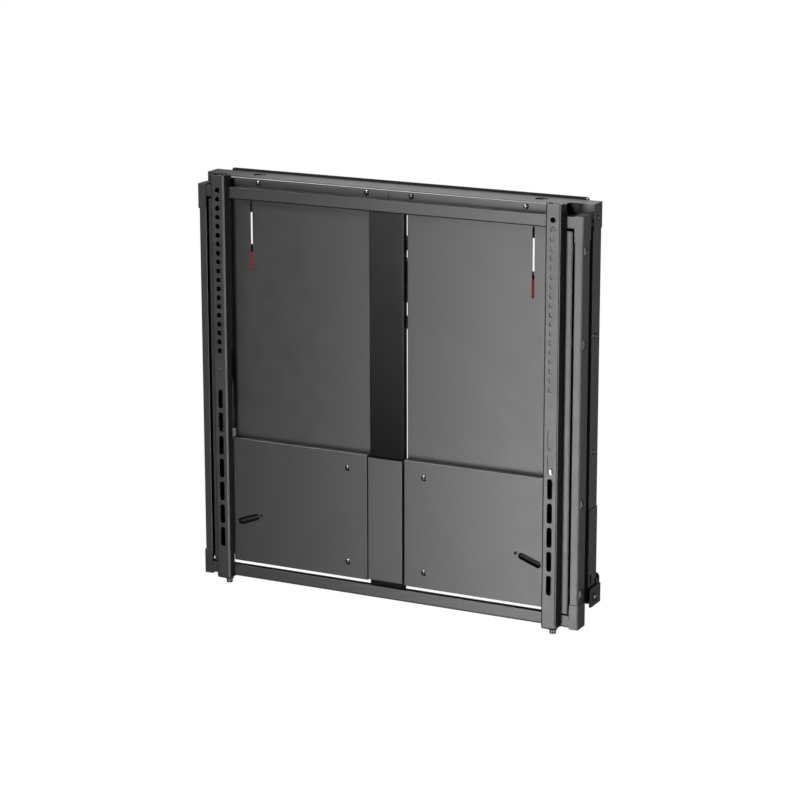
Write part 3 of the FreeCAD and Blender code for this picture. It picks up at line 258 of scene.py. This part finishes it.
def paint_shade_down(tree, shader, level, shade_drop):
    """Painted shade: lets the sheen fade from the top of a tall piece to the point where a cover meets
    it, so that the piece is painted darker towards the bottom.
    """
    coordinates = add(tree, "ShaderNodeTexCoord")
    axes = add(tree, "ShaderNodeSeparateXYZ")
    tree.links.new(coordinates.outputs["Object"], axes.inputs[0])
    shade_level = spread(tree, axes.outputs["Z"], level - shade_drop, level)
    socket(shade_level, "From Min", column_shade_bottom)
    socket(shade_level, "From Max", column_shade_top)
    tree.links.new(shade_level.outputs["Result"], shader.inputs["Specular IOR Level"])


def plated_steel(name, colour, rough, stretch, metallic=1.0):
    """Bright or plated steel with a rolled or ground grain along one axis."""
    material, tree, shader = new_material(name)
    grain = noise(tree, steel_grain_scale, 3.0, 0.6, stretch)
    cloud = noise(tree, steel_cloud_scale, 4.0)
    tint(tree, shader, cloud.outputs["Fac"], colour, steel_tones)
    drift_gloss(tree, shader, grain.outputs["Fac"], rough, steel_gloss)
    bump(tree, shader, grain.outputs["Fac"], steel_grain_depth, steel_grain_strength, soft_edges(tree))
    socket(shader, "Metallic", metallic)
    return material


def threaded_steel(name, colour):
    """A plated screw: the thread is a wave along the screw's axis, and the roots of the wave are
    painted darker as painted shade.
    """
    material, tree, shader = new_material(name)
    wave = bands(tree, thread_pitch, "TRI")
    tone = ramp(tree, wave.outputs["Fac"], scaled(colour, thread_root_shade), colour, 0.1, 0.8)
    tree.links.new(tone.outputs["Color"], shader.inputs["Base Color"])
    bump(tree, shader, wave.outputs["Fac"], thread_depth)
    socket(shader, "Metallic", 1.0)
    socket(shader, "Roughness", thread_rough)
    return material


def moulded(name, colour, rough, texture, metallic=0.0, level=0.5):
    """Moulded plastic, rubber or a blackened screw: a fine skin texture and drifting gloss."""
    material, tree, shader = new_material(name)
    cloud = noise(tree, skin_cloud_scale)
    tint(tree, shader, cloud.outputs["Fac"], colour, skin_tones)
    drift_gloss(tree, shader, cloud.outputs["Fac"], rough, skin_gloss)
    skin = noise(tree, skin_scale, 2.0)
    bump(tree, shader, skin.outputs["Fac"], texture, skin_strength)
    socket(shader, "Metallic", metallic)
    socket(shader, "Specular IOR Level", level)
    return material


def toothed_belt(name, colour):
    """Black rubber belt with fine cross ribs."""
    material, tree, shader = new_material(name)
    wave = bands(tree, belt_rib_pitch)
    cloud = noise(tree, belt_cloud_scale)
    tint(tree, shader, cloud.outputs["Fac"], colour, belt_tones)
    bump(tree, shader, wave.outputs["Fac"], belt_rib_depth, belt_rib_strength)
    socket(shader, "Roughness", belt_rough)
    return material


# Finishes, and the pieces that have them
materials = {
    "coat": powder_coat("charcoal_powder_coat", (0.0030, 0.0029, 0.0029)),
    # The column's sheen is painted darker towards the bottom: painted shade.
    "column": powder_coat("black_column_paint", (0.002, 0.002, 0.0019), 0.30, level=0.24, shade_drop=0.20),
    "black": powder_coat("satin_black_paint", (0.006, 0.006, 0.006), 0.42, level=0.28),
    "matt": powder_coat("matt_black_paint", (0.005, 0.005, 0.005), 0.55, level=0.12),
    "screw": moulded("black_oxide_screw", (0.20, 0.20, 0.20), 0.17, 0.00001, 1.0),
    "dark_and_shaded_screw": moulded("dark_and_shaded_screw", (0.06, 0.06, 0.06), 0.28, 0.00001, 1.0),
    "lock": moulded("black_lock_screw", (0.010, 0.010, 0.010), 0.45, 0.00001),
    "zinc": plated_steel("zinc_plate", (0.62, 0.61, 0.58), 0.34, (1.0, 1.0, 0.08), 0.6),
    "angle": plated_steel("grey_zinc_plate", (0.42, 0.415, 0.40), 0.30, (1.0, 1.0, 0.08), 0.75),
    "steel": plated_steel("ground_steel", (0.56, 0.56, 0.56), 0.24, (1.0, 1.0, 0.05)),
    "spring": plated_steel("oiled_spring_wire", (0.22, 0.21, 0.20), 0.36, (1.0, 1.0, 1.0)),
    "thread": threaded_steel("plated_thread", (0.60, 0.58, 0.54)),
    "nylon_black": moulded("black_nylon", (0.020, 0.020, 0.021), 0.45, 0.00005),
    "belt": toothed_belt("belt_rubber", (0.016, 0.016, 0.016)),
    "red": moulded("red_pointer", (0.085, 0.002, 0.005), 0.6, 0.00002, level=0.08),
}
finish = {
    "coat": [
        "top_channel", "bottom_rail", "side_channel_left", "side_channel_right", "side_cheeks",
        "front_panel_left", "front_panel_right", "cross_member_top", "cross_member_bottom",
        "frame_rail_left", "frame_rail_right", "corner_caps", "lower_cover_left",
        "lower_cover_right", "centre_cover", "slide_inner_left", "slide_inner_right",
        "display_bracket_left", "display_bracket_right",
    ],
    "column": ["centre_column"],
    "black": [
        "crossbar", "wall_rail_lower", "slides_fixed", "slide_middle_left",
        "slide_middle_right", "carriage_plates", "lift_arm", "spring_yoke_left",
        "spring_yoke_right",
    ],
    # The bearing blocks are black, and take this dullest black so that the slots in front of them read
    # dark: in part a painted shade.
    "matt": ["bearing_blocks", "wall_rail_upper", "slot_rods"],
    "screw": ["channel_screws", "side_screws"],
    # The clamp screws have this darker finish of their own; the cover screws take it as painted shade,
    # a darker copy of the black oxide screws.
    "dark_and_shaded_screw": ["cover_screws", "clamp_screw_left", "clamp_screw_right"],
    "lock": ["lock_screw_left", "lock_screw_right"],
    "zinc": ["rail_bolts", "spring_beam"],
    "angle": ["carriage_angles"],
    "steel": ["thrust_washers", "shafts", "spring_studs", "guide_rods"],
    "thread": ["adjusting_screw_left", "adjusting_screw_right"],
    "nylon_black": [
        "drum", "lift_idler", "spring_idler", "middle_glides_left", "middle_glides_right",
        "inner_glides",
    ],
    "belt": ["lift_belt", "spring_belt"],
    "red": ["pointer_left", "pointer_right"],
}


def dress(node, material):
    """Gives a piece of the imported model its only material."""
    mesh = nodes[node].data
    mesh.materials.clear()
    mesh.materials.append(material)


for key, names in finish.items():
    for name in names:
        dress(name, materials[key])


def wound_wire(name, points):
    """A round wire through the points, with a steady frame and closed ends."""
    mesh = bmesh.new()
    rings = []
    normal = Vector((1.0, 0.0, 0.0))
    for i, point in enumerate(points):
        before = points[max(i - 1, 0)]
        after = points[min(i + 1, len(points) - 1)]
        tangent = (after - before).normalized()
        normal = normal - tangent * normal.dot(tangent)
        if normal.length < 1e-6:
            normal = tangent.orthogonal()
        normal.normalize()
        side = tangent.cross(normal)
        ring = []
        for k in range(wire_sides):
            angle = 2 * math.pi * k / wire_sides
            offset = normal * math.cos(angle) + side * math.sin(angle)
            ring.append(mesh.verts.new(point + offset * (spring_wire / 2)))
        rings.append(ring)
    for lower, upper in zip(rings, rings[1:]):
        for k in range(wire_sides):
            following = (k + 1) % wire_sides
            mesh.faces.new((lower[k], lower[following], upper[following], upper[k]))
    mesh.faces.new(list(reversed(rings[0])))
    mesh.faces.new(rings[-1])
    data = bpy.data.meshes.new(name)
    mesh.to_mesh(data)
    mesh.free()
    for polygon in data.polygons:
        polygon.use_smooth = True
    data.materials.append(materials["spring"])
    piece = bpy.data.objects.new(name, data)
    bpy.context.scene.collection.objects.link(piece)
    return piece


def coil_points(x, y, bottom, top):
    """A close helix whose end turns narrow towards the hook's shank."""
    points = []
    steps = spring_turns * turn_points
    for i in range(steps + 1):
        share = i / steps
        turn = 2 * math.pi * spring_turns * share
        from_end = min(share, 1 - share) * spring_turns
        narrowing = narrow_share + (1 - narrow_share) * from_end / narrow_turns
        radius = spring_coil_radius * min(1.0, narrowing)
        z = bottom + (top - bottom) * share
        points.append(Vector((x + radius * math.cos(turn), y + radius * math.sin(turn), z)))
    return points


def hook_points(x, y, loop_z, shank_z):
    """A loop round a stud, then a straight shank that runs into the coil."""
    inward = 1.0 if shank_z > loop_z else -1.0
    points = []
    for i in range(hook_turn_points + 1):
        turn = math.radians(hook_start + hook_sweep * i / hook_turn_points)
        across = hook_radius * math.sin(turn)
        along = hook_radius * math.cos(turn)
        points.append(Vector((x + across, y, loop_z + inward * along)))
    neck = loop_z + inward * (hook_radius + hook_neck)
    points.append(Vector((x, y, neck)))
    points.append(Vector((x, y, (neck + shank_z) / 2)))
    points.append(Vector((x, y, shank_z)))
    return points


def joint_travel(name):
    """How far a sliding joint goes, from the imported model."""
    return next(joint for joint in frame["joints"] if joint["name"] == name)["range_m"][1]


def build_springs(side):
    """Two wound springs, with the hooks at their ends, in place of one side's plain sleeves."""
    low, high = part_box("springs_" + side)
    y = (low.y + high.y) / 2
    ring_reach = hook_radius + spring_wire / 2
    upper_loop = high.z - ring_reach
    lower_loop = low.z + ring_reach
    half = (high.x - low.x) / 2 - spring_coil_radius - spring_wire / 2
    middle = (low.x + high.x) / 2
    outward = 1.0 if middle > 0 else -1.0
    top = upper_loop - spring_lead
    bottom = lower_loop + spring_lead
    shank = top - joint_travel("spring_yoke_" + side + "_rise") - spring_lead
    for label, sign in (("outer", outward), ("inner", -outward)):
        x = middle + sign * half
        tag = side + "_" + label
        coil = wound_wire("spring_coil_" + tag, coil_points(x, y, bottom, top))
        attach(coil, "wall_box")
        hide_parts("springs_" + side)
        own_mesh(coil)
        upper = wound_wire("spring_hook_top_" + tag, hook_points(x, y, upper_loop, shank))
        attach(upper, "yoke_" + side)
        lower_points = hook_points(x, y, lower_loop, bottom + spring_lead)
        lower = wound_wire("spring_hook_bottom_" + tag, lower_points)
        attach(lower, "spring_carriage")


build_springs("left")
build_springs("right")


def white_to_camera(tree, kind, strength, out):
    """White where the camera looks, and a softer light for everything else."""
    path = add(tree, "ShaderNodeLightPath")
    soft = add(tree, kind)
    white = add(tree, kind)
    mix = add(tree, "ShaderNodeMixShader")
    socket(soft, "Color", (1.0, 1.0, 1.0, 1.0))
    socket(soft, "Strength", strength)
    socket(white, "Color", (1.0, 1.0, 1.0, 1.0))
    socket(white, "Strength", 1.0)
    tree.links.new(path.outputs["Is Camera Ray"], mix.inputs[0])
    tree.links.new(soft.outputs[0], mix.inputs[1])
    tree.links.new(white.outputs[0], mix.inputs[2])
    tree.links.new(mix.outputs[0], out.inputs["Surface"])


def build_floor():
    """A wide square floor under the object."""
    mesh = bpy.data.meshes.new("floor")
    signs = ((-1, -1), (1, -1), (1, 1), (-1, 1))
    corners = [(x * floor_half, y * floor_half, floor_z) for x, y in signs]
    mesh.from_pydata(corners, [], [(0, 1, 2, 3)])
    floor = bpy.data.objects.new("floor", mesh)
    bpy.context.scene.collection.objects.link(floor)
    material, tree, shader = new_material("pale_floor")
    tree.nodes.remove(shader)
    out = next(n for n in tree.nodes if n.type == "OUTPUT_MATERIAL")
    white_to_camera(tree, "ShaderNodeEmission", floor_light, out)
    mesh.materials.append(material)


def build_world():
    """White to the camera, and a softer grey to the object."""
    world = bpy.data.worlds.new("studio")
    bpy.context.scene.world = world
    world.use_nodes = True
    tree = world.node_tree
    tree.nodes.clear()
    white_to_camera(tree, "ShaderNodeBackground", world_light, add(tree, "ShaderNodeOutputWorld"))
    bpy.context.scene.view_settings.view_transform = "Standard"


def build_lights():
    """Rectangular lamps that the camera doesn't see."""
    for name, (place, target, width, height, power) in lights.items():
        data = bpy.data.lights.new(name, "AREA")
        data.shape = "RECTANGLE"
        data.size = width
        data.size_y = height
        data.energy = power
        data.color = light_tint
        lamp = bpy.data.objects.new(name, data)
        lamp.location = place
        aim = Vector(target) - Vector(place)
        lamp.rotation_euler = aim.to_track_quat("-Z", "Y").to_euler()
        lamp.visible_camera = False
        bpy.context.scene.collection.objects.link(lamp)


def build_camera():
    """The camera that took the photograph, as solved."""
    azimuth = math.radians(camera_azimuth)
    elevation = math.radians(camera_elevation)
    ahead = Vector((-math.sin(azimuth) * math.cos(elevation), math.cos(azimuth) * math.cos(elevation),
                    -math.sin(elevation)))
    data = bpy.data.cameras.new("camera")
    data.lens = camera_lens
    data.sensor_width = camera_sensor
    data.clip_end = camera_reach
    camera = bpy.data.objects.new("camera", data)
    turn = ahead.to_track_quat("-Z", "Y").to_matrix().to_4x4()
    roll = Matrix.Rotation(math.radians(camera_roll), 4, "Z")
    camera.matrix_world = Matrix.Translation(camera_place) @ turn @ roll
    bpy.context.scene.collection.objects.link(camera)
    bpy.context.scene.camera = camera


build_floor()
build_world()
build_lights()
build_camera()
